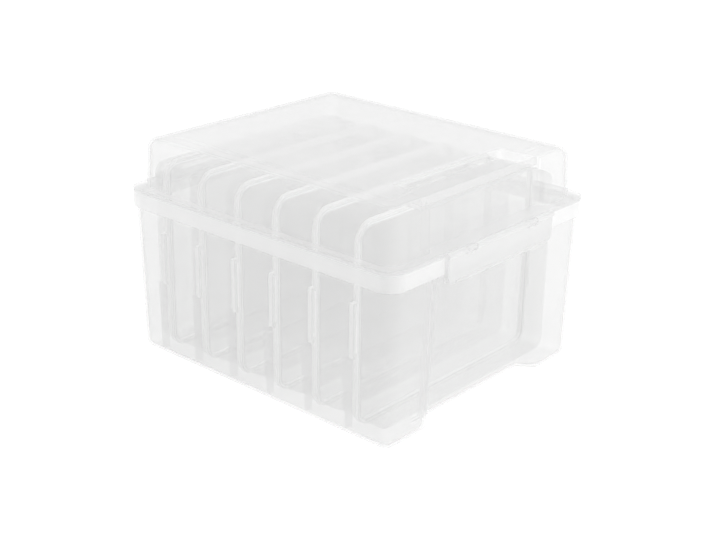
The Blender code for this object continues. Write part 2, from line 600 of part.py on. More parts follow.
def build_case_meshes(tools):
    """Makes the two half shells that every photo case shares, about the case's own centre."""
    seam = TOUCH_GAP / 2
    tab_half = CASE_TAB_LENGTH / 2
    end = CASE_LENGTH / 2
    base = half_shell("case_base_master", CASE_BASE_DEPTH, -1, tools, tools)
    tab = box("base_tab", (-end - CASE_TAB_REACH, -seam - CASE_FLANGE_THICK + 0.0002, -tab_half + 0.003),
              (-end + 0.0015, -seam, tab_half - 0.003), tools)
    combine(base, tab, "UNION")

    lid = half_shell("case_lid_master", CASE_LID_DEPTH, 1, tools, tools)
    plug = loft("case_plug", [(-CASE_PLUG, body_outline(CASE_WALL + TOUCH_GAP + 0.0004)),
                              (CASE_WALL * 0.5, body_outline(CASE_WALL + TOUCH_GAP)),
                              (seam + 0.0012, body_outline(CASE_WALL - 0.0004))], tools, axis="Y")
    bore = body_outline(CASE_WALL + TOUCH_GAP + CASE_PLUG_THICK)
    plug_bore = loft("case_plug_bore", [(-CASE_PLUG - 0.001, bore), (0.006, bore)], tools, axis="Y")
    combine(plug, plug_bore, "DIFFERENCE")
    combine(lid, plug, "UNION")
    hook = box("lid_tab", (-end - CASE_TAB_REACH - TOUCH_GAP - CASE_TAB_THICK, seam, -tab_half),
               (-end + 0.0015, seam + CASE_FLANGE_THICK - 0.0002, tab_half), tools)
    drop = box("lid_hook", (-end - CASE_TAB_REACH - TOUCH_GAP - CASE_TAB_THICK, -CASE_TAB_REACH - 0.0008, -tab_half),
               (-end - CASE_TAB_REACH - TOUCH_GAP, seam + 0.0008, tab_half), tools)
    combine(hook, drop, "UNION")
    combine(lid, hook, "UNION")

    # The hinge end: barrels on the flanges, the lid's pair outside the base's one
    middle = CASE_BARREL_LENGTH / 2
    reach = end + CASE_BARREL_RADIUS + TOUCH_GAP
    base_barrel = rod("base_barrel", (reach, 0, 0), CASE_BARREL_RADIUS, CASE_BARREL_LENGTH, tools, "Z", 12)
    base_web = box("base_web", (end - 0.0015, -seam - CASE_FLANGE_THICK + 0.0002, -middle + 0.0002),
                   (reach, -seam, middle - 0.0002), tools)
    combine(base_barrel, base_web, "UNION")
    combine(base, base_barrel, "UNION")
    for sign in (-1, 1):
        z = sign * (middle + TOUCH_GAP + CASE_BARREL_LENGTH / 4)
        suffix = "_low" if sign < 0 else "_high"
        barrel = rod("lid_barrel" + suffix, (reach, 0, z), CASE_BARREL_RADIUS, CASE_BARREL_LENGTH / 2, tools, "Z", 12)
        web = box("lid_web" + suffix, (end - 0.0015, seam, z - CASE_BARREL_LENGTH / 4 + 0.0002),
                  (reach, seam + CASE_FLANGE_THICK - 0.0002, z + CASE_BARREL_LENGTH / 4 - 0.0002), tools)
        combine(barrel, web, "UNION")
        combine(lid, barrel, "UNION")
    return base, lid


def build_cases(parts, tools, base_material, lid_material):
    """Places the photo cases side by side, each half its own object under one empty."""
    masters = build_case_meshes(tools)
    depsgraph = bpy.context.evaluated_depsgraph_get()
    meshes = []
    for master, material in zip(masters, (base_material, lid_material)):
        mesh = bpy.data.meshes.new_from_object(master.evaluated_get(depsgraph))
        mesh.materials.clear()
        mesh.materials.append(material)
        mesh.shade_smooth()
        mesh.set_sharp_from_angle(angle=math.radians(35.0))
        meshes.append(mesh)
        master.hide_render = True
        master.display_type = "WIRE"
    for index in range(CASE_COUNT):
        holder = bpy.data.objects.new("case_%d" % (index + 1), None)
        holder.location = (0.0, case_seam(index), CASE_BOTTOM + CASE_HEIGHT / 2)
        parts.objects.link(holder)
        for part, mesh in zip(("base", "lid"), meshes):
            obj = bpy.data.objects.new("case_%d_%s" % (index + 1, part), mesh)
            obj.parent = holder
            parts.objects.link(obj)


def main():
    """Builds the whole case."""
    clear_scene()
    parts = make_collection("photo_keeper_case")
    tools = make_collection("cutters")
    tub_plastic = make_material("tub_plastic", (0.86, 0.87, 0.87), 0.22, 0.45)
    lid_plastic = make_material("lid_plastic", (0.87, 0.88, 0.88), 0.16, 0.42)
    latch_plastic = make_material("latch_plastic", (0.87, 0.88, 0.88), 0.20, 0.55)
    case_plastic = make_material("case_plastic", (0.88, 0.89, 0.89), 0.18, 0.38)
    case_lid_plastic = make_material("case_lid_plastic", (0.89, 0.90, 0.90), 0.16, 0.34)
    build_tub(parts, tools, tub_plastic)
    build_lid(parts, tools, lid_plastic)
    build_latch(parts, tools, latch_plastic)
    build_cases(parts, tools, case_plastic, case_lid_plastic)


main()
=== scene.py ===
"""Looks of the photo keeper case: milky clear plastic on a white studio floor.

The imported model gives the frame: where the band, the hinge, the latch and the photo cases are. Each
sub-assembly is built at a finer grain than the solids, gets its plastic and rides on its body.
"""
import json
import logging
import math
from collections.abc import Iterable, Sequence
from dataclasses import dataclass, replace
from enum import Enum

import bmesh
import bpy
from mathutils import Matrix, Vector


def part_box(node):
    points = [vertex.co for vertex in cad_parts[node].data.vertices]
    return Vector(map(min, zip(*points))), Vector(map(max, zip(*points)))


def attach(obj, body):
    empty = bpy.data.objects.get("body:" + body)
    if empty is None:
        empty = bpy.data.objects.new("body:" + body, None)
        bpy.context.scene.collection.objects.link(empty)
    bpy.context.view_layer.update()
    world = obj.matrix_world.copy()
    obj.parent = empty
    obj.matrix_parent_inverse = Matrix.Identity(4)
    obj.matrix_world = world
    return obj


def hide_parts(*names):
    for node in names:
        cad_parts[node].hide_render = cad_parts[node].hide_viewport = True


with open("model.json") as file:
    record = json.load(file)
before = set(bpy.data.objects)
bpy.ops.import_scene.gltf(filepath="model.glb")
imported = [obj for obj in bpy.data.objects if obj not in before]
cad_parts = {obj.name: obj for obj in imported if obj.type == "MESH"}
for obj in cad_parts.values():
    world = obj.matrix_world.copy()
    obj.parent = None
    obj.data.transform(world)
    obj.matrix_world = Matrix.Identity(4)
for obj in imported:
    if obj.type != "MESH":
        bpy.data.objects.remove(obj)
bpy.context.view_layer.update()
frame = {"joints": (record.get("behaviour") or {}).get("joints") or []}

LOG = logging.getLogger("photo_keeper_case")

Point = tuple[float, float]
Section = tuple[float, list[Point]]
Block = tuple[Vector, Vector]
Triple = tuple[float, float, float]
Piece = bpy.types.Object
Socket = bpy.types.NodeSocket
Source = Socket | float | tuple[float, ...]

# Radii of corners that look sharp, in an outline and at the back of a recess
SHARP_RADIUS = 0.0003
TIGHT_RADIUS = 0.0005
# Largest share of a side that the arc at one of its ends takes
SIDE_SHARE = 0.48
# Where the middle ring of a rounded edge lies, as a share of the edge
EDGE_BEND = 0.3
# Smallest step between two faces, and how far a joining block stays inside the faces it joins
FACE_STEP = 0.0001
HOLD_BACK = 0.0002
# How far a cut runs past the material
RUN_OUT = 0.0100
WELD_DISTANCE = 1e-7
SHARP_ANGLE = math.radians(32.0)
NORMAL_WEIGHT = 80


class Axis(Enum):
    """A direction in the frame of the box."""

    ACROSS = "X"
    BACK = "Y"
    UP = "Z"


class Cut(Enum):
    """How a tool changes the piece it is applied to."""

    ADD = "UNION"
    TAKE = "DIFFERENCE"


# Outlines

def arc_corners(points: Sequence[Point], radii: Sequence[float], steps: int) -> list[Point]:
    """Rounds the corners of a polygon.

    Args:
        points: the corners, anticlockwise.
        radii: one radius for each corner.
        steps: how many chords each arc has.

    Returns:
        The outline, with steps + 1 points for each corner.
    """
    result: list[Point] = []
    for i, corner in enumerate(points):
        here = Vector(corner)
        before = Vector(points[i - 1]) - here
        after = Vector(points[(i + 1) % len(points)]) - here
        turn = before.angle(after)
        reach = min(radii[i] / math.tan(turn / 2), SIDE_SHARE * before.length, SIDE_SHARE * after.length)
        radius = reach * math.tan(turn / 2)
        middle = (before.normalized() + after.normalized()).normalized()
        centre = here + middle * radius / math.sin(turn / 2)
        start = here + before.normalized() * reach - centre
        end = here + after.normalized() * reach - centre
        begin = math.atan2(start.y, start.x)
        sweep = (math.atan2(end.y, end.x) - begin + math.pi) % (2 * math.pi) - math.pi
        for k in range(steps + 1):
            angle = begin + sweep * k / steps
            result.append((centre.x + radius * math.cos(angle), centre.y + radius * math.sin(angle)))
    return result


def rectangle(half_x: float, half_y: float, radius: float, steps: int) -> list[Point]:
    """Outline of a rectangle about the origin with rounded corners."""
    corners = [(-half_x, -half_y), (half_x, -half_y), (half_x, half_y), (-half_x, half_y)]
    return arc_corners(corners, [max(radius, SHARP_RADIUS)] * 4, steps)


def quarter_round(radius: float, steps: int) -> list[Point]:
    """Height and inset along a quarter-round edge, from its flat end to its wall end."""
    angles = [math.pi / 2 * k / steps for k in range(steps + 1)]
    return [(radius * (1 - math.cos(a)), radius * (1 - math.sin(a))) for a in angles]


@dataclass(frozen=True)
class Recess:
    """A recess in the front side of an outline."""

    mouth_half: float
    panel_half: float
    panel_y: float
    mouth_radius: float
    panel_radius: float

    def grown(self, amount: float) -> "Recess":
        """The same recess, with its faces moved into the material by the given amount."""
        return Recess(self.mouth_half + amount, self.panel_half + amount, self.panel_y + amount,
                      self.mouth_radius + amount, max(self.panel_radius - amount, TIGHT_RADIUS))

    def outline(self, half_x: float, half_y: float, corner: float, steps: int) -> list[Point]:
        """Outline of a rounded rectangle with this recess in its front side.

        Args:
            half_x: half of the width.
            half_y: half of the depth.
            corner: radius of the four corners.
            steps: chords in each arc.

        Returns:
            The outline, anticlockwise from the front left corner.
        """
        corners = [(-half_x, -half_y), (-self.mouth_half, -half_y), (-self.panel_half, self.panel_y),
                   (self.panel_half, self.panel_y), (self.mouth_half, -half_y), (half_x, -half_y),
                   (half_x, half_y), (-half_x, half_y)]
        radii = [corner, self.mouth_radius, self.panel_radius, self.panel_radius, self.mouth_radius,
                 corner, corner, corner]
        return arc_corners(corners, [max(radius, SHARP_RADIUS) for radius in radii], steps)

    @staticmethod
    def points(steps: int) -> range:
        """Places in the outline of the points that belong to the recess's four corners."""
        return range(steps + 1, 5 * (steps + 1))

    def flat(self, half_x: float, half_y: float, corner: float, steps: int) -> list[Point]:
        """The same outline with the recess pressed flat onto the front side."""
        result = self.outline(half_x, half_y, corner, steps)
        for i in self.points(steps):
            result[i] = (result[i][0], -half_y)
        return result


def pan(half: float, low: float, top: float, corner: float) -> list[Point]:
    """Outline of an upright rectangle with round lower corners."""
    points = [(-half, low), (half, low), (half, top), (-half, top)]
    return arc_corners(points, [corner, corner, SHARP_RADIUS, SHARP_RADIUS], 8)


def mirrored(spacing: float, centre: Vector) -> list[Vector]:
    """Two places a spacing apart, left and right, at a centre's depth and height."""
    return [Vector((side * spacing / 2, centre.y, centre.z)) for side in (-1, 1)]


# Meshes

def add_object(name: str, bm: bmesh.types.BMesh) -> Piece:
    """Turns a finished bmesh into an object of the scene."""
    mesh = bpy.data.meshes.new(name)
    bm.to_mesh(mesh)
    bm.free()
    obj = bpy.data.objects.new(name, mesh)
    bpy.context.scene.collection.objects.link(obj)
    return obj


def loft(name: str, sections: Sequence[Section], axis: Axis = Axis.UP) -> Piece:
    """Closed skin through outlines that have as many points each.

    Args:
        name: name of the object.
        sections: a level along the axis and an outline for each ring.
        axis: UP for outlines in XY, BACK for outlines in XZ with levels along +Y.

    Returns:
        The new object, with a flat cap at each end.
    """
    bm = bmesh.new()
    rings = []
    for level, outline in sections:
        points = [(x, y, level) if axis is Axis.UP else (x, level, y) for x, y in outline]
        rings.append([bm.verts.new(point) for point in points])
    for low, high in zip(rings, rings[1:]):
        for i, vert in enumerate(low):
            j = (i + 1) % len(low)
            bm.faces.new((vert, low[j], high[j], high[i]))
    bm.faces.new(rings[0])
    bm.faces.new(rings[-1])
    bmesh.ops.remove_doubles(bm, verts=bm.verts, dist=WELD_DISTANCE)
    bmesh.ops.recalc_face_normals(bm, faces=bm.faces)
    return add_object(name, bm)


def blocks(name: str, corners: Iterable[Block]) -> Piece:
    """Several axis-aligned blocks in one mesh, each between two corners."""
    bm = bmesh.new()
    for low, high in corners:
        made = bmesh.ops.create_cube(bm, size=1.0)["verts"]
        bmesh.ops.scale(bm, vec=high - low, verts=made)
        bmesh.ops.translate(bm, vec=(low + high) / 2, verts=made)
    return add_object(name, bm)


def rods(name: str, centres: Iterable[Vector], radius: float, length: float, axis: Axis = Axis.ACROSS,
         segments: int = 32) -> Piece:
    """Several equal cylinders in one mesh, lying ACROSS or standing UP."""
    bm = bmesh.new()
    for centre in centres:
        made = bmesh.ops.create_cone(bm, cap_ends=True, segments=segments, radius1=radius, radius2=radius,
                                     depth=length)["verts"]
        if axis is Axis.ACROSS:
            bmesh.ops.rotate(bm, matrix=Matrix.Rotation(math.pi / 2, 3, "Y"), verts=made)
        bmesh.ops.translate(bm, vec=centre, verts=made)
    return add_object(name, bm)


def carve(piece: Piece, tools: Sequence[tuple[Piece, Cut]]) -> Piece:
    """Applies tools to a piece in order, removes them, and smooths and returns the piece."""
    for tool, cut in tools:
        modifier = piece.modifiers.new(tool.name, "BOOLEAN")
        modifier.operation = cut.value
        modifier.solver = "EXACT"
        modifier.object = tool
    depsgraph = bpy.context.evaluated_depsgraph_get()
    mesh = bpy.data.meshes.new_from_object(piece.evaluated_get(depsgraph))
    piece.modifiers.clear()
    piece.data = mesh
    for tool, _ in tools:
        bpy.data.objects.remove(tool, do_unlink=True)
    smooth(piece)
    return piece


def smooth(piece: Piece) -> None:
    """Shades a piece smooth, keeps its sharp edges, and lets large faces set the normals."""
    piece.data.shade_smooth()
    piece.data.set_sharp_from_angle(angle=SHARP_ANGLE)
    modifier = piece.modifiers.new("Even normals", "WEIGHTED_NORMAL")
    modifier.keep_sharp = True
    modifier.weight = NORMAL_WEIGHT


# Finishes

SEAM_BLUR = 0.0004
PEBBLE_DEPTH = 0.0002
# The span of the flow haze, and what it does to the wall's density and roughness
HAZE_SPAN = (0.3, 0.7)
HAZE_DENSITY = (0.93, 1.04)
HAZE_ROUGHNESS = (0.8, 1.25)
WHITE = (1.0, 1.0, 1.0, 1.0)


@dataclass(frozen=True)
class Wiring:
    """Adds nodes to one node tree and joins them up."""

    tree: bpy.types.NodeTree

    def feed(self, node: bpy.types.Node, sources: dict[str | int, Source]) -> bpy.types.Node:
        """Gives inputs of a node their constants, or links them to the outputs that drive them."""
        for key, source in sources.items():
            if isinstance(source, Socket):
                self.tree.links.new(source, node.inputs[key])
            else:
                node.inputs[key].default_value = source
        return node

    def add(self, kind: str, sources: dict[str, Source] | None = None) -> bpy.types.Node:
        """Adds a shader node of a kind and feeds its inputs."""
        return self.feed(self.tree.nodes.new(f"ShaderNode{kind}"), sources or {})

    def calc(self, operation: str, *sources: Source, clamp: bool = False) -> Socket:
        """Result of a sum on one to three sources, held between 0 and 1 if clamp is set."""
        node = self.add("Math")
        node.operation = operation
        node.use_clamp = clamp
        return self.feed(node, dict(enumerate(sources))).outputs["Value"]

    def ramp(self, source: Socket, low: float, high: float, start: float = 0.0,
             end: float = 1.0) -> Socket:
        """The span of a source from start to end, mapped onto low to high and held at both ends."""
        node = self.add("MapRange", {"Value": source, "From Min": start, "From Max": end,
                                     "To Min": low, "To Max": high})
        return node.outputs["Result"]

    def noise(self, place: Socket, scale: Source, detail: float,
              distortion: float = 0.0) -> Socket:
        """Soft noise over a place."""
        node = self.add("TexNoise", {"Vector": place, "Scale": scale, "Detail": detail,
                                     "Distortion": distortion})
        return node.outputs["Fac"]


def moulding_group() -> bpy.types.NodeTree:
    """Node group with the fine marks of moulded plastic: flow haze, pebble and rubbed scuffs.

    Returns:
        The group, with inputs Flow Scale, Pebble Scale and Scuff Amount, and outputs Haze, Scuff and Height.
    """
    group = bpy.data.node_groups.new("moulded_marks", "ShaderNodeTree")
    for name, value in (("Flow Scale", 14.0), ("Pebble Scale", 900.0), ("Scuff Amount", 0.3)):
        made = group.interface.new_socket(name=name, in_out="INPUT", socket_type="NodeSocketFloat")
        made.default_value = value
    for name in ("Haze", "Scuff", "Height"):
        group.interface.new_socket(name=name, in_out="OUTPUT", socket_type="NodeSocketFloat")
    wiring = Wiring(group)
    given = group.nodes.new("NodeGroupInput").outputs
    place = wiring.add("TexCoord").outputs["Object"]
    flow = wiring.noise(place, given["Flow Scale"], detail=3.0, distortion=0.6)
    stretch = wiring.add("Mapping", {"Vector": place, "Scale": (90.0, 240.0, 1400.0),
                                     "Rotation": (0.4, 0.9, 0.2)})
    rub = wiring.noise(stretch.outputs["Vector"], 1.0, detail=2.0)
    scuff = wiring.calc("MULTIPLY", wiring.ramp(rub, 0.0, 1.0, start=0.62, end=0.74), given["Scuff Amount"])
    pebble = wiring.noise(place, given["Pebble Scale"], detail=1.0)
    height = wiring.calc("ADD", pebble, flow)
    wiring.feed(group.nodes.new("NodeGroupOutput"), {"Haze": flow, "Scuff": scuff, "Height": height})
    return group


@dataclass(frozen=True)
class ClearPlastic:
    """Milky clear polypropylene: a hazy see-through wall that turns denser at grazing angles, and paler there
    by a painted edge highlight.

    Attributes:
        name: name of the material and its slot.
        thin_color, body: colour and density where the wall is seen straight on.
        grazing_color, rim: colour and density at grazing angles. A grazing colour paler than thin_color is a
            painted highlight on the rounded edges.
        roughness, scuff, pebble: the surface, its rubbed scuffs and its pebbling.
        shade: share of the density that light on its way to other surfaces doesn't meet.
        edge_blend: how far the grazing look reaches into the wall.
        seam, seam_pale: density and paleness that a thick strip adds. There is none where seam is 0.
        seam_axis, seam_middle, seam_half: direction across the strip, its middle and half of its width.
        ior: index of refraction.
    """

    name: str
    thin_color: Triple
    grazing_color: Triple
    body: float
    rim: float
    roughness: float
    scuff: float
    pebble: float
    shade: float
    edge_blend: float = 0.35
    seam: float = 0.0
    seam_pale: float = 0.6
    seam_axis: Axis = Axis.BACK
    seam_middle: float = 0.0
    seam_half: float = 0.0020
    ior: float = 1.49

    def build(self, marks: bpy.types.NodeTree) -> bpy.types.Material:
        """Makes the material.

        Args:
            marks: the node group of moulded marks.

        Returns:
            The finished material.
        """
        material = bpy.data.materials.new(self.name)
        material.use_nodes = True
        wiring = Wiring(material.node_tree)
        moulded = wiring.add("Group")
        moulded.node_tree = marks
        moulded.inputs["Scuff Amount"].default_value = self.scuff
        haze = moulded.outputs["Haze"]

        facing = wiring.add("LayerWeight", {"Blend": self.edge_blend}).outputs["Facing"]
        cloud = wiring.ramp(haze, *HAZE_DENSITY, *HAZE_SPAN)
        dense = wiring.calc("MULTIPLY", wiring.ramp(facing, self.body, self.rim), cloud)
        # How pale the wall is: the facing gives a painted highlight on rounded edges, and thick strips add
        # their real paleness
        pale = facing
        if self.seam > 0:
            thick = self.thick_part(wiring)
            pale = wiring.calc("MULTIPLY_ADD", thick, self.seam_pale, pale, clamp=True)
            dense = wiring.calc("MULTIPLY_ADD", thick, self.seam, dense, clamp=True)
        color = wiring.add("Mix")
        color.data_type = "RGBA"
        wiring.feed(color, {"Factor": pale, "A": (*self.thin_color, 1.0), "B": (*self.grazing_color, 1.0)})

        path = wiring.add("LightPath")
        bounced = wiring.calc("MAXIMUM", path.outputs["Is Shadow Ray"], path.outputs["Is Diffuse Ray"])
        shown = wiring.calc("MULTIPLY", dense, wiring.ramp(bounced, 1.0, 1.0 - self.shade))
        smoother, rougher = (self.roughness * share for share in HAZE_ROUGHNESS)
        rough = wiring.calc("ADD", wiring.ramp(haze, smoother, rougher), moulded.outputs["Scuff"], clamp=True)
        bump = wiring.add("Bump", {"Strength": self.pebble, "Distance": PEBBLE_DEPTH,
                                   "Height": moulded.outputs["Height"]})
        wiring.feed(material.node_tree.nodes["Principled BSDF"], {
            "Base Color": color.outputs["Result"], "Alpha": shown, "Roughness": rough,
            "Normal": bump.outputs["Normal"], "IOR": self.ior})
        return material

    def thick_part(self, wiring: Wiring) -> Socket:
        """Mask of the thick strip, such as a rim's band or two flanges that lie on each other.

        Args:
            wiring: the wiring of the material.

        Returns:
            One inside the strip and zero away from it.
        """
        place = wiring.add("TexCoord").outputs["Object"]
        across = wiring.add("SeparateXYZ", {"Vector": place}).outputs[self.seam_axis.value]
        away = wiring.calc("ABSOLUTE", wiring.calc("SUBTRACT", across, self.seam_middle))
        return wiring.ramp(away, 1.0, 0.0, start=self.seam_half - SEAM_BLUR, end=self.seam_half + SEAM_BLUR)


# The tub, latch and cases have paler grazing colours, which paint highlights on their edges; the lid's
# grazing colour about matches its thin colour
TUB_PLASTIC = ClearPlastic(
    name="tub_plastic", thin_color=(0.71, 0.71, 0.71), grazing_color=(0.99, 0.99, 0.99), body=0.12, rim=0.76,
    roughness=0.15, scuff=0.05, pebble=0.03, shade=0.88, edge_blend=0.22, seam=0.38, seam_pale=0.50,
    seam_axis=Axis.UP, seam_middle=0.1158, seam_half=0.0056)
LID_PLASTIC = ClearPlastic(
    name="lid_plastic", thin_color=(0.80, 0.80, 0.80), grazing_color=(0.79, 0.79, 0.79), body=0.09, rim=0.81,
    roughness=0.12, scuff=0.04, pebble=0.03, shade=0.88, edge_blend=0.25)
LATCH_PLASTIC = ClearPlastic(
    name="latch_plastic", thin_color=(0.73, 0.73, 0.73), grazing_color=(0.99, 0.99, 0.99), body=0.25, rim=0.90,
    roughness=0.16, scuff=0.05, pebble=0.04, shade=0.88)
CASE_PLASTIC = ClearPlastic(
    name="case_plastic", thin_color=(0.71, 0.71, 0.705), grazing_color=(1.0, 1.0, 1.0), body=0.06, rim=0.55,
    roughness=0.18, scuff=0.05, pebble=0.03, shade=0.9, edge_blend=0.2, seam=0.7)
CASE_LID_PLASTIC = replace(CASE_PLASTIC, name="case_lid_plastic", roughness=0.16)


# Sub-assemblies

@dataclass(frozen=True)
class Envelope:
    """Sizes and places that the sub-assemblies share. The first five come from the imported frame."""

    half_width: float
    half_depth: float
    height: float
    hinge: Vector
    latch: Vector
    rim_top: float = 0.1215
    wall: float = 0.0018
    band_proud: float = 0.0020
    band_height: float = 0.0115
    band_corner: float = 0.0130
    touch_gap: float = 0.0003
    clip_spacing: float = 0.0660
    clip_rod: float = 0.0012

    @classmethod
    def from_frame(cls, joints: Sequence[dict]) -> "Envelope":
        """Reads the band, the lid's top and the two pivots from the frame."""
        low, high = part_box("tub")
        pivots = {joint["name"]: Vector(joint["pos_m"]) for joint in joints if "pos_m" in joint}
        return cls(half_width=high.x, half_depth=-low.y, height=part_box("lid")[1].z,
                   hinge=pivots["lid_hinge"], latch=pivots["latch_pivot"])

    @property
    def band_bottom(self) -> float:
        """Height of the band's lower edge."""
        return self.rim_top - self.band_height

    @property
    def lid_base(self) -> float:
        """Height of the lid's flange underside."""
        return self.rim_top + self.touch_gap


@dataclass(frozen=True)
class Hinge:
    """Sizes of the two hinge stations at the back, shared by the tub's ears and the lid's barrels."""

    spacing: float = 0.1240
    barrel_radius: float = 0.0032
    barrel_length: float = 0.0140
    pin_radius: float = 0.0018
    pin_clearance: float = 0.0003
    ear_radius: float = 0.0037
    ear_thick: float = 0.0030
    foot_bite: float = 0.0012
    foot_out: float = 0.55
    foot_drop: float = 0.4

    def stations(self, pivot: Vector) -> list[Vector]:
        """Centres of the two stations on the hinge axis."""
        return mirrored(self.spacing, pivot)

    def ear_centres(self, pivot: Vector) -> list[Vector]:
        """Centres of the four ears, one on each side of each barrel."""
        step = self.barrel_length / 2 + self.pin_clearance + self.ear_thick / 2
        return [centre + Vector((side * step, 0, 0)) for centre in self.stations(pivot) for side in (-1, 1)]

    def ear_feet(self, env: Envelope) -> list[Block]:
        """Blocks that join the ears to the tub's band."""
        half = self.ear_thick / 2 - FACE_STEP
        out, drop = self.ear_radius * self.foot_out, self.ear_radius * self.foot_drop
        return [(Vector((c.x - half, env.half_depth - self.foot_bite, env.band_bottom + self.foot_bite)),
                 Vector((c.x + half, c.y + out, c.z - drop))) for c in self.ear_centres(env.hinge)]


@dataclass
class Tub:
    """The open outer box: drafted walls, band, recessed front panel, side ribs and hinge ears."""

    envelope: Envelope
    hinge: Hinge
    seams: list[float]
    floor: float = 0.0020
    draft: float = 0.0030
    corner: float = 0.0110
    fillet: float = 0.0065
    recess_depth: float = 0.0116
    recess_half: float = 0.0585
    return_run: float = 0.0080
    mouth_radius: float = 0.0030
    recess_corner: float = 0.0050
    recess_below_band: float = 0.0060
    ledge_run: float = 0.0006
    band_root: float = 0.0005
    band_edge: float = 0.0007
    band_dip: float = 0.0020
    rim_edge: float = 0.0004
    rib_thick: float = 0.0018
    rib_height: float = 0.0530
    rib_reach: float = 0.0035
    rib_tip: float = 0.0923
    rib_offset: float = 0.00315
    steps: int = 10
    fillet_steps: int = 6

    def inset(self, z: float) -> float:
        """How far the drafted wall stands inside its outline at the rim."""
        return self.draft * (1 - z / self.envelope.rim_top)

    def outline(self, inset: float, recessed: bool) -> list[Point]:
        """Outline of the wall that far inside the wall at the rim, with or without the front recess."""
        env = self.envelope
        half_x = env.half_width - env.band_proud - inset
        half_y = env.half_depth - env.band_proud - inset
        panel_y = -(env.half_depth - env.band_proud - self.recess_depth)
        recess = Recess(self.recess_half, self.recess_half - self.return_run, panel_y, self.mouth_radius,
                        self.recess_corner).grown(inset)
        shape = recess.outline if recessed else recess.flat
        return shape(half_x, half_y, self.corner - inset, self.steps)

    def band(self, inset: float) -> list[Point]:
        """Outline of the band that far inside its face."""
        env = self.envelope
        half_y, half = env.half_depth - inset, self.recess_half
        radius = self.mouth_radius
        recess = Recess(half, half - self.return_run, -half_y + self.band_dip, radius, radius)
        return recess.flat(env.half_width - inset, half_y, env.band_corner - inset, self.steps)

    def outer_sections(self) -> list[Section]:
        """Sections up the outside, from the underside to the rim."""
        bottom, rim = self.envelope.band_bottom, self.envelope.rim_top
        top = bottom - self.recess_below_band
        edge, bend = self.band_edge, self.band_edge * EDGE_BEND
        sections = [(z, self.outline(self.inset(z) + extra, True))
                    for z, extra in quarter_round(self.fillet, self.fillet_steps)]
        sections += [(top - self.ledge_run, self.outline(self.inset(top), True)),
                     (top, self.outline(self.inset(top), False)),
                     (bottom - self.ledge_run, self.outline(self.inset(bottom), False)),
                     (bottom, self.outline(self.inset(bottom) - self.band_root, False))]
        for z, inset in ((bottom + FACE_STEP, edge), (bottom + bend, bend), (bottom + edge, 0.0),
                         (rim - edge, 0.0), (rim - bend, bend), (rim, edge)):
            sections.append((z, self.band(inset)))
        return sections

    def inner_sections(self) -> list[Section]:
        """Sections down the inside, from the rim to the floor."""
        env, edge = self.envelope, self.rim_edge
        ledge = env.band_bottom - self.recess_below_band + env.wall
        sections = [(env.rim_top, self.outline(env.wall - edge, False)),
                    (env.rim_top - edge, self.outline(env.wall, False)),
                    (ledge + self.ledge_run, self.outline(self.inset(ledge) + env.wall, False)),
                    (ledge, self.outline(self.inset(ledge) + env.wall, True))]
        for rise, extra in reversed(quarter_round(self.fillet - env.wall, self.fillet_steps)):
            z = self.floor + rise
            sections.append((z, self.outline(self.inset(z) + env.wall + extra, True)))
        return sections

    def rib_outline(self, side: int) -> list[Point]:
        """Outline in XZ of a low rib, rooted half way into the wall and the floor."""
        env = self.envelope
        middle = env.half_width - env.band_proud - env.wall / 2
        base, top = self.floor / 2, self.rib_height + self.rib_reach
        root = [(middle - self.inset(z) - extra, base + z)
                for z, extra in quarter_round(self.fillet - env.wall / 2, self.fillet_steps)]
        points = [(self.rib_tip, base), *root, (middle - self.inset(top), top),
                  (self.rib_tip, self.rib_height)]
        return [(side * x, z) for x, z in points]

    def build(self) -> Piece:
        """Builds the tub."""
        env, hinge, half = self.envelope, self.hinge, self.rib_thick / 2
        piece = loft("clear_tub", self.outer_sections() + self.inner_sections())
        tools: list[tuple[Piece, Cut]] = []
        for index, seam in enumerate(self.seams):
            y = seam + self.rib_offset
            for side in (-1, 1):
                outline = self.rib_outline(side)
                rib = loft(f"rib_{index}_{side}", [(y - half, outline), (y + half, outline)], Axis.BACK)
                tools.append((rib, Cut.ADD))
        ears = rods("ears", hinge.ear_centres(env.hinge), hinge.ear_radius, hinge.ear_thick)
        bores = rods("bores", hinge.stations(env.hinge), hinge.pin_radius + hinge.pin_clearance,
                     hinge.barrel_length + 3 * hinge.ear_thick)
        tools += [(blocks("ear_feet", hinge.ear_feet(env)), Cut.ADD), (ears, Cut.ADD), (bores, Cut.TAKE)]
        return carve(piece, tools)


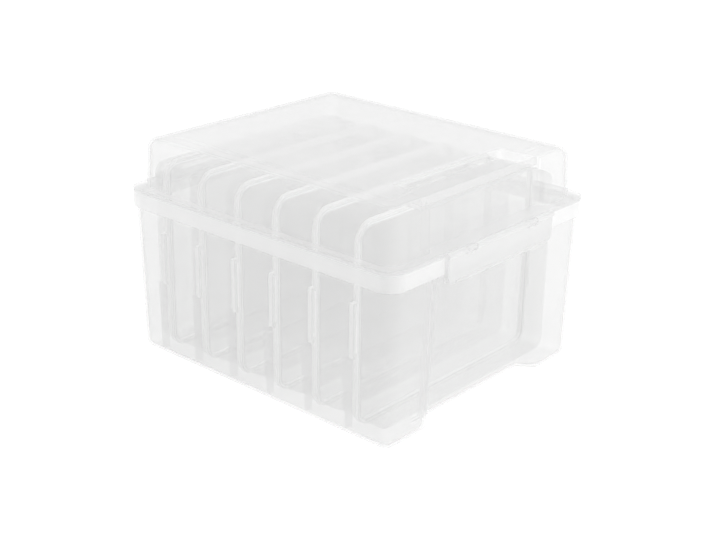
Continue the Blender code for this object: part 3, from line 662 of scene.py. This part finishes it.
@dataclass
class Lid:
    """The domed lid: flange, locating lip, raised panel, finger trough, hinge barrels and latch clips."""

    envelope: Envelope
    hinge: Hinge
    flange_thick: float = 0.0025
    flange_edge: float = 0.0008
    lower_edge: float = 0.0003
    inset: float = 0.0073
    draft: float = 0.0015
    fillet: float = 0.0080
    corner: float = 0.0115
    root: float = 0.0008
    panel_rise: float = 0.0010
    panel_inset: float = 0.0150
    panel_slope: float = 0.0025
    panel_brink: float = 0.0004
    top_overlap: float = 0.0040
    lip_depth: float = 0.0030
    lip_thick: float = 0.0015
    lip_clearance: float = 0.0005
    inner_trim: float = 0.0030
    outer_trim: float = 0.0025
    lip_lead: float = 0.0004
    lip_lead_rise: float = 0.4
    recess_depth: float = 0.0055
    recess_half: float = 0.0615
    mouth_radius: float = 0.0009
    panel_radius: float = 0.0012
    recess_dip: float = 0.0040
    trough_depth: float = 0.0075
    trough_length: float = 0.0295
    trough_flare: float = 0.0035
    trough_corner: float = 0.0040
    front_corner: float = 0.0010
    side_gap: float = 0.0004
    skin_drop: float = 0.0009
    skin_bite: float = 0.4
    clip_width: float = 0.0090
    clip_wall: float = 0.0009
    clip_arm_drop: float = 0.0006
    arm_bite: float = 0.0040
    arm_short: float = 0.0004
    steps: int = 10

    @property
    def shoulder(self) -> float:
        """Height of the flange's top face."""
        return self.envelope.lid_base + self.flange_thick

    @property
    def border_top(self) -> float:
        """Height of the top border round the raised panel."""
        return self.envelope.height - self.panel_rise

    @property
    def front_panel(self) -> float:
        """Y of the recessed front panel's outer face at the shoulder."""
        return -(self.envelope.half_depth - self.inset - self.recess_depth)

    def outline(self, z: float, extra: float, wall: float = 0.0) -> list[Point]:
        """Outline of the dome at a height.

        Args:
            z: the height, which sets the draft.
            extra: how far inside the drafted outer wall.
            wall: how far the recess's faces move into the material.

        Returns:
            The outline, with the recess where it reaches deeper than the wall itself.
        """
        env = self.envelope
        share = (z - self.shoulder) / (self.border_top - self.fillet - self.shoulder)
        inset = self.inset + self.draft * min(max(share, 0.0), 1.0) + extra
        half_x, half_y = env.half_width - inset, env.half_depth - inset
        half = self.recess_half + wall
        recess = Recess(half, half, self.front_panel + wall, self.mouth_radius, self.panel_radius)
        front = env.half_depth - self.inset
        base = recess.outline(env.half_width - self.inset, front, self.corner, self.steps)
        result = recess.outline(half_x, half_y, self.corner - (inset - self.inset), self.steps)
        for i in recess.points(self.steps):
            x, y = base[i]
            result[i] = (x, max(y, -half_y))
        return result

    def flat(self, inset: float, corner: float) -> list[Point]:
        """Outline of the flange or lip inside the band's face by the given amount, with no recess."""
        env = self.envelope
        half_y, half = env.half_depth - inset, self.recess_half
        recess = Recess(half, half, -half_y + self.recess_dip, self.mouth_radius, self.panel_radius)
        return recess.flat(env.half_width - inset, half_y, corner, self.steps)

    def inner_sections(self) -> list[Section]:
        """Sections from under the top down inside the walls."""
        wall = self.envelope.wall
        under, inner = self.border_top - wall, self.fillet - wall
        rings = [(under, wall + inner + self.top_overlap),
                 *((under - drop, wall + extra) for drop, extra in quarter_round(inner, 6)),
                 (self.shoulder, wall)]
        return [(z, self.outline(z, extra, wall)) for z, extra in rings]

    def rim_sections(self) -> list[Section]:
        """Sections round the locating lip and the flange."""
        env, base, depth = self.envelope, self.envelope.lid_base, self.lip_depth
        lip_out = env.band_proud + env.wall + self.lip_clearance
        lip_in = lip_out + self.lip_thick
        inner, outer = self.corner - self.inner_trim, self.corner - self.outer_trim
        rings = [(self.shoulder - self.root, self.inset + env.wall, self.corner - env.wall),
                 (base + HOLD_BACK, lip_in, inner), (base - depth, lip_in, inner),
                 (base - depth, lip_out + self.lip_lead, inner),
                 (base - depth * (1 - self.lip_lead_rise), lip_out, outer), (base, lip_out, outer),
                 (base, self.lower_edge, env.band_corner),
                 (base + self.lower_edge, 0.0, env.band_corner)]
        rings += [(self.shoulder - drop, inset, env.band_corner)
                  for inset, drop in quarter_round(self.flange_edge, 3)]
        return [(z, self.flat(inset, corner)) for z, inset, corner in rings]

    def dome_sections(self) -> list[Section]:
        """Sections from the flange up the walls and over the border to the raised panel."""
        root, bend, top = self.root, self.root * EDGE_BEND, self.border_top
        sections = [(self.shoulder, self.outline(self.shoulder, -root)),
                    (self.shoulder + bend, self.outline(self.shoulder, -bend)),
                    (self.shoulder + root, self.outline(self.shoulder + root, 0.0))]
        for drop, extra in reversed(quarter_round(self.fillet, 8)):
            sections.append((top - drop, self.outline(top - drop, extra)))
        sections += [(top, self.outline(top, self.panel_inset - self.panel_brink)),
                     (top + FACE_STEP, self.outline(top, self.panel_inset))]
        for share in (0.25, 0.5, 0.75, 0.95, 1.0):
            lift = 0.5 - 0.5 * math.cos(math.pi * share)
            sections.append((top + FACE_STEP + (self.panel_rise - FACE_STEP) * lift,
                             self.outline(top, self.panel_inset + self.panel_slope * share)))
        return sections

    def trough(self, grow: float) -> list[Point]:
        """Plan of the finger trough behind the front panel, enlarged by the given amount."""
        wall = self.envelope.wall
        back_half = self.recess_half - self.trough_flare + grow
        front_half = self.recess_half - self.side_gap + grow
        front_y = self.front_panel + (wall * self.skin_bite if grow > 0 else wall + FACE_STEP - grow)
        back_y = self.front_panel + wall + grow + self.trough_length
        points = [(-front_half, front_y), (front_half, front_y), (back_half, back_y), (-back_half, back_y)]
        front, back = self.front_corner, self.trough_corner + grow
        return arc_corners(points, [front, front, back, back], 8)

    def arms(self) -> list[Block]:
        """Blocks that join the hinge barrels to the flange."""
        env, hinge = self.envelope, self.hinge
        half = hinge.barrel_length / 2 - self.arm_short
        return [(Vector((c.x - half, env.half_depth - self.arm_bite, env.lid_base + HOLD_BACK)),
                 Vector((c.x + half, c.y, self.shoulder - HOLD_BACK))) for c in hinge.stations(env.hinge)]

    def clip_arms(self, clips: Iterable[Vector]) -> list[Block]:
        """Blocks that join the latch clips to the flange."""
        front, half = -self.envelope.half_depth + self.arm_bite, self.clip_width / 2 - HOLD_BACK
        return [(Vector((c.x - half, c.y, c.z - self.clip_arm_drop)),
                 Vector((c.x + half, front, self.shoulder - HOLD_BACK))) for c in clips]

    def build(self) -> Piece:
        """Builds the lid."""
        env, hinge, wall = self.envelope, self.hinge, self.envelope.wall
        piece = loft("clear_lid", self.inner_sections() + self.rim_sections() + self.dome_sections())
        floor = self.border_top - self.trough_depth
        skin = loft("trough_skin", [(floor - wall, self.trough(wall * self.skin_bite)),
                                    (floor, self.trough(wall)),
                                    (self.border_top - self.skin_drop, self.trough(wall))])
        blend = quarter_round(self.trough_corner / 2, 4)
        rounds = [(floor + rise, self.trough(-extra)) for rise, extra in blend]
        void = loft("trough_void", rounds + [(env.height + RUN_OUT, self.trough(0.0))])
        stations = hinge.stations(env.hinge)
        clips = mirrored(env.clip_spacing, env.latch)
        hole = env.clip_rod + hinge.pin_clearance
        pin_length = hinge.barrel_length + 2 * (hinge.pin_clearance + hinge.ear_thick)
        return carve(piece, [
            (skin, Cut.ADD),
            (void, Cut.TAKE),
            (blocks("arms", self.arms() + self.clip_arms(clips)), Cut.ADD),
            (rods("barrels", stations, hinge.barrel_radius, hinge.barrel_length), Cut.ADD),
            (rods("pins", stations, hinge.pin_radius, pin_length), Cut.ADD),
            (rods("clips", clips, hole + self.clip_wall, self.clip_width), Cut.ADD),
            (rods("clip_holes", clips, hole, self.clip_width * 2), Cut.TAKE)])


@dataclass
class Latch:
    """The wide latch flap: side returns, grip bead, catch beads and two windows for the lid's clips."""

    envelope: Envelope
    half: float = 0.0565
    thick: float = 0.0022
    drop: float = 0.0190
    corner: float = 0.0055
    edge: float = 0.0006
    side: float = 0.0018
    barrel: float = 0.0021
    rod_bite: float = 0.0030
    lip: float = 0.0016
    window_half: float = 0.0050
    window_clear: float = 0.0030
    window_reach: float = 0.0060
    bead_spacing: float = 0.0560
    bead_length: float = 0.0120
    bead_sink: float = 0.0008
    bead_root: float = 0.0004
    bead_hook: float = 0.0010
    grip_radius: float = 0.0013
    grip_sink: float = 0.0004
    grip_rise: float = 0.0014
    grip_end: float = 0.0020

    def plate(self, inset: float) -> list[Point]:
        """Outline in XZ of the flap inside its edge by the given amount."""
        top = self.envelope.latch.z
        return pan(self.half - inset, top - self.drop + inset, top, self.corner - inset)

    def windows(self, clips: Iterable[Vector]) -> list[Block]:
        """Blocks that open the flap round the lid's clips."""
        half, reach = self.window_half, self.window_reach
        return [(Vector((c.x - half, c.y - reach, c.z - self.window_clear)),
                 Vector((c.x + half, c.y + reach, c.z + reach))) for c in clips]

    def build(self) -> Piece:
        """Builds the latch."""
        env, pivot, half = self.envelope, self.envelope.latch, self.bead_length / 2
        inner_y = -env.half_depth - env.touch_gap
        outer_y = pivot.y - self.thick / 2
        plate_y = pivot.y + self.thick / 2
        fronts = [(outer_y + back, self.plate(inset))
                  for inset, back in reversed(quarter_round(self.edge, 3))]
        piece = loft("clear_latch", fronts + [(inner_y, self.plate(0.0))], Axis.BACK)
        low = pivot.z - self.drop + self.lip
        hollow = pan(self.half - self.side, low, pivot.z + RUN_OUT, self.corner - self.side)
        clips = mirrored(env.clip_spacing, pivot)
        beads = [(Vector((middle - half, plate_y - self.bead_sink, low - self.bead_root)),
                  Vector((middle + half, inner_y, env.band_bottom - self.bead_hook)))
                 for middle in (-self.bead_spacing / 2, self.bead_spacing / 2)]
        grip = Vector((0, outer_y + self.grip_sink, pivot.z - self.drop + self.grip_rise))
        grip_length = 2 * (self.half - self.corner - self.grip_end)
        rod_length = 2 * self.window_half + self.rod_bite
        return carve(piece, [
            (loft("pocket", [(plate_y, hollow), (inner_y + RUN_OUT, hollow)], Axis.BACK), Cut.TAKE),
            (rods("top_barrel", [pivot], self.barrel, 2 * self.half), Cut.ADD),
            (rods("grip", [grip], self.grip_radius, grip_length, segments=24), Cut.ADD),
            (blocks("beads", beads), Cut.ADD),
            (blocks("windows", self.windows(clips)), Cut.TAKE),
            (rods("pivots", clips, env.clip_rod, rod_length, segments=24), Cut.ADD)])


@dataclass
class PhotoCase:
    """One two-part photo case: a deep base, a shallower lid half, a snap tab and hinge barrels."""

    length: float
    height: float
    base_depth: float = 0.0207
    lid_depth: float = 0.0145
    wall: float = 0.0010
    root: float = 0.0005
    flange: float = 0.0021
    flange_thick: float = 0.0016
    flange_corner: float = 0.0145
    flange_edge: tuple[Point, ...] = ((0.0, 0.0004), (0.0002, 0.0001), (0.0005, 0.0))
    seam_edge: float = 0.0003
    body_corner: float = 0.0095
    fillet: float = 0.0030
    draft: float = 0.0006
    plug: float = 0.0030
    plug_thick: float = 0.0007
    plug_lead: float = 0.0003
    plug_tip: float = 0.0005
    plug_root: float = 0.0010
    plug_foot: float = 0.0013
    gap: float = 0.0003
    bite: float = 0.0015
    lug_short: float = 0.0030
    tab_length: float = 0.0380
    tab_reach: float = 0.0025
    tab_thick: float = 0.0011
    hook_lap: float = 0.0008
    barrel_radius: float = 0.0016
    barrel_length: float = 0.0260
    barrel_sides: int = 20
    steps: int = 8

    def ring(self, inset: float, corner: float) -> list[Point]:
        """Outline about the case's centre that far inside the flange's edge."""
        return rectangle(self.length / 2 - inset, self.height / 2 - inset, corner, self.steps)

    def rim(self, inset: float) -> list[Point]:
        """Outline of the flange."""
        return self.ring(inset, self.flange_corner - inset)

    def shell(self, inset: float) -> list[Point]:
        """Outline of the walls, inside their outer face at the flange by the given amount."""
        return self.ring(inset + self.flange, self.body_corner - inset)

    def outside(self, depth: float) -> list[Section]:
        """Sections from the outer face to the seam."""
        seam = self.gap / 2
        step = seam + self.flange_thick
        sections = [(depth - drop, self.shell(self.draft + extra))
                    for drop, extra in quarter_round(self.fillet, 5)]
        sections += [(step + self.root, self.shell(0.0)), (step, self.shell(-self.root))]
        sections += [(step - drop, self.rim(inset)) for drop, inset in self.flange_edge]
        sections += [(seam + self.seam_edge, self.rim(0.0)), (seam, self.rim(self.seam_edge))]
        return sections

    def inside(self, depth: float) -> list[Section]:
        """Sections from the seam's inner edge to the inner face."""
        face, start = depth - self.wall, self.draft + self.wall
        return [(face - drop, self.shell(start + extra))
                for drop, extra in reversed(quarter_round(self.fillet - self.wall, 4))]

    def base(self) -> Piece:
        """Builds the deeper half about the case's centre, opening towards +Y."""
        seam = self.gap / 2
        depth = self.base_depth
        sections = self.outside(depth) + [(seam, self.shell(self.wall))] + self.inside(depth)
        piece = loft("case_base", [(-level, outline) for level, outline in sections], Axis.BACK)
        half_lug, half_web = self.tab_length / 2 - self.lug_short, self.barrel_length / 2
        end = self.length / 2
        reach = end + self.barrel_radius + self.gap
        face = -seam - self.flange_thick + HOLD_BACK
        lug = (Vector((-end - self.tab_reach, face, -half_lug)), Vector((-end + self.bite, -seam, half_lug)))
        web = (Vector((end - self.bite, face, -half_web + HOLD_BACK)),
               Vector((reach, -seam, half_web - HOLD_BACK)))
        barrel = rods("base_barrel", [Vector((reach, 0, 0))], self.barrel_radius, self.barrel_length,
                      Axis.UP, self.barrel_sides)
        return carve(piece, [(blocks("base_lugs", [lug, web]), Cut.ADD), (barrel, Cut.ADD)])

    def lid(self) -> Piece:
        """Builds the shallower half about the case's centre, opening towards -Y."""
        seam, out = self.gap / 2, self.wall + self.gap
        back = out + self.plug_thick
        plug = [(z, self.shell(inset)) for z, inset in (
            (seam, out), (-self.plug + self.plug_lead, out + self.plug_lead),
            (-self.plug, out + self.plug_tip), (-self.plug, back), (seam + self.plug_root, back),
            (seam + self.plug_foot, self.wall + HOLD_BACK))]
        piece = loft("case_lid", self.outside(self.lid_depth) + plug + self.inside(self.lid_depth), Axis.BACK)
        end, tab, face = self.length / 2, self.tab_length / 2, seam + self.flange_thick - HOLD_BACK
        outer = -end - self.tab_reach - self.gap - self.tab_thick
        bar = (Vector((outer, seam, -tab)), Vector((-end + self.bite, face, tab)))
        hook = (Vector((outer, -self.tab_reach - self.hook_lap, -tab)),
                Vector((-end - self.tab_reach - self.gap, seam + self.hook_lap, tab)))
        reach = end + self.barrel_radius + self.gap
        quarter = self.barrel_length / 4
        centres = [side * (self.barrel_length / 2 + self.gap + quarter) for side in (-1, 1)]
        webs = [(Vector((end - self.bite, seam, z - quarter + HOLD_BACK)),
                 Vector((reach, face, z + quarter - HOLD_BACK))) for z in centres]
        barrels = rods("lid_barrels", [Vector((reach, 0, z)) for z in centres], self.barrel_radius,
                       2 * quarter, Axis.UP, self.barrel_sides)
        return carve(piece, [(blocks("lid_bars", [bar] + webs), Cut.ADD),
                             (blocks("lid_hook", [hook]), Cut.ADD), (barrels, Cut.ADD)])


@dataclass(frozen=True)
class CaseStack:
    """The six photo cases that stand in the tub."""

    count: int = 6

    def seams(self) -> list[float]:
        """Y of each case's seam plane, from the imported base's outer face."""
        faces = [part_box(f"case_{index}_base")[0].y for index in range(1, self.count + 1)]
        return [face + PhotoCase.base_depth for face in faces]

    def build(self, marks: bpy.types.NodeTree) -> None:
        """Builds the halves once, with the moulded marks, and places a copy of each for every case."""
        low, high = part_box("case_1_base")
        height = high.z - low.z
        length = 2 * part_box("case_1_lid")[1].x - 4 * PhotoCase.barrel_radius - 2 * PhotoCase.gap
        case = PhotoCase(length=length, height=height)
        for part, master, plastic in (("base", case.base(), CASE_PLASTIC),
                                      ("lid", case.lid(), CASE_LID_PLASTIC)):
            coat(master, plastic.build(marks))
            for index, seam in enumerate(self.seams(), start=1):
                copy = master.copy()
                copy.name = f"photo_case_{index}_{part}"
                copy.location = (0.0, seam, low.z + height / 2)
                bpy.context.scene.collection.objects.link(copy)
                seat(copy, f"case_{index}", plastic.name, f"case_{index}_{part}")
            bpy.data.objects.remove(master, do_unlink=True)


def coat(piece: Piece, material: bpy.types.Material) -> None:
    """Gives a piece one material."""
    piece.data.materials.clear()
    piece.data.materials.append(material)


def seat(piece: Piece, body: str, slot: str, node: str) -> None:
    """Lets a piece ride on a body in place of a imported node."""
    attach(piece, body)
    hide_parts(node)
    LOG.info("%s rides on %s in place of %s, %d faces", piece.name, body, node, len(piece.data.polygons))


# Studio

@dataclass(frozen=True)
class Lamp:
    """A square soft light that faces the box."""

    name: str
    place: Triple
    size: float
    power: float
    aim: Triple = (0.0, 0.0, 0.08)

    def hang(self) -> None:
        """Adds the light to the scene."""
        data = bpy.data.lights.new(self.name, "AREA")
        data.size = self.size
        data.energy = self.power
        lamp = bpy.data.objects.new(self.name, data)
        lamp.location = self.place
        lamp.rotation_euler = (Vector(self.aim) - Vector(self.place)).to_track_quat("-Z", "Y").to_euler()
        bpy.context.scene.collection.objects.link(lamp)


LAMPS = (Lamp("overhead_light", (0.2, 0.1, 1.6), size=1.2, power=0.6),
         Lamp("front_light", (0.5, -1.5, 0.9), size=0.9, power=4.0),
         Lamp("left_glint", (-1.4, 0.7, 1.0), size=0.10, power=1.0),
         Lamp("front_glint", (0.35, -1.5, 1.0), size=0.10, power=1.0))


@dataclass
class Studio:
    """White floor, soft surroundings, lights and the camera."""

    lens: float = 67.239
    sensor: float = 36.0
    near_limit: float = 0.01
    position: Triple = (-0.66669, -0.59102, 0.42057)
    forward: Triple = (0.69576, 0.61427, -0.37229)
    roll: float = math.radians(0.874)
    floor_half: float = 3.0
    floor_level: float = -0.0003
    floor_color: Triple = (0.86, 0.86, 0.86)
    floor_glow: float = 0.35
    air_light: float = 0.90

    def build_camera(self) -> None:
        """Places the camera at the photograph's viewing angle."""
        data = bpy.data.cameras.new("studio_camera")
        data.sensor_width = self.sensor
        data.lens = self.lens
        data.clip_start = self.near_limit
        camera = bpy.data.objects.new("studio_camera", data)
        forward = Vector(self.forward).normalized()
        right = forward.cross(Vector((0, 0, 1))).normalized()
        up = right.cross(forward)
        level = right * math.cos(self.roll) + up * math.sin(self.roll)
        rise = up * math.cos(self.roll) - right * math.sin(self.roll)
        matrix = Matrix((level, rise, -forward)).transposed().to_4x4()
        matrix.translation = self.position
        camera.matrix_world = matrix
        bpy.context.scene.collection.objects.link(camera)
        bpy.context.scene.camera = camera

    @staticmethod
    def seen_directly(wiring: Wiring) -> Socket:
        """One for rays from the camera, off a shiny surface or through a clear one, zero for others."""
        path = wiring.add("LightPath")
        shiny = wiring.calc("MAXIMUM", path.outputs["Is Camera Ray"], path.outputs["Is Glossy Ray"])
        return wiring.calc("MAXIMUM", shiny, path.outputs["Is Transmission Ray"])

    def build_floor(self) -> None:
        """Lays a white floor that shows white to the camera and keeps a soft shadow."""
        bm = bmesh.new()
        bmesh.ops.create_grid(bm, x_segments=1, y_segments=1, size=self.floor_half)
        floor = add_object("studio_floor", bm)
        floor.location.z = self.floor_level
        material = bpy.data.materials.new("studio_white")
        material.use_nodes = True
        wiring = Wiring(material.node_tree)
        glow = wiring.calc("MULTIPLY", self.seen_directly(wiring), self.floor_glow)
        wiring.feed(material.node_tree.nodes["Principled BSDF"], {
            "Base Color": (*self.floor_color, 1.0), "Roughness": 0.9, "Specular IOR Level": 0.0,
            "Emission Color": WHITE, "Emission Strength": glow})
        floor.data.materials.append(material)

    def build_world(self) -> None:
        """Soft white surroundings: white where they are seen, a little dimmer as light."""
        world = bpy.data.worlds.new("studio_air")
        bpy.context.scene.world = world
        world.use_nodes = True
        wiring = Wiring(world.node_tree)
        strength = wiring.ramp(self.seen_directly(wiring), self.air_light, 1.0)
        wiring.feed(world.node_tree.nodes["Background"], {"Color": WHITE, "Strength": strength})

    def build(self) -> None:
        """Builds the camera, the floor, the surroundings and the lights."""
        self.build_camera()
        self.build_floor()
        self.build_world()
        for lamp in LAMPS:
            lamp.hang()
        bpy.context.scene.view_settings.view_transform = "Standard"
        cycles = bpy.context.scene.cycles
        cycles.transparent_max_bounces = 64
        cycles.max_bounces = 24
        cycles.transmission_bounces = 24
        cycles.glossy_bounces = 8


def main() -> None:
    """Builds the sub-assemblies in order."""
    logging.basicConfig(level=logging.INFO, format="%(name)s: %(message)s")
    Studio().build()
    marks = moulding_group()
    envelope = Envelope.from_frame(frame["joints"])
    hinge = Hinge()
    stack = CaseStack()
    stack.build(marks)
    for piece, plastic, body in ((Tub(envelope, hinge, stack.seams()).build(), TUB_PLASTIC, "tub"),
                                 (Lid(envelope, hinge).build(), LID_PLASTIC, "lid"),
                                 (Latch(envelope).build(), LATCH_PLASTIC, "latch")):
        coat(piece, plastic.build(marks))
        seat(piece, body, plastic.name, body)


if __name__ == "__main__":
    main()
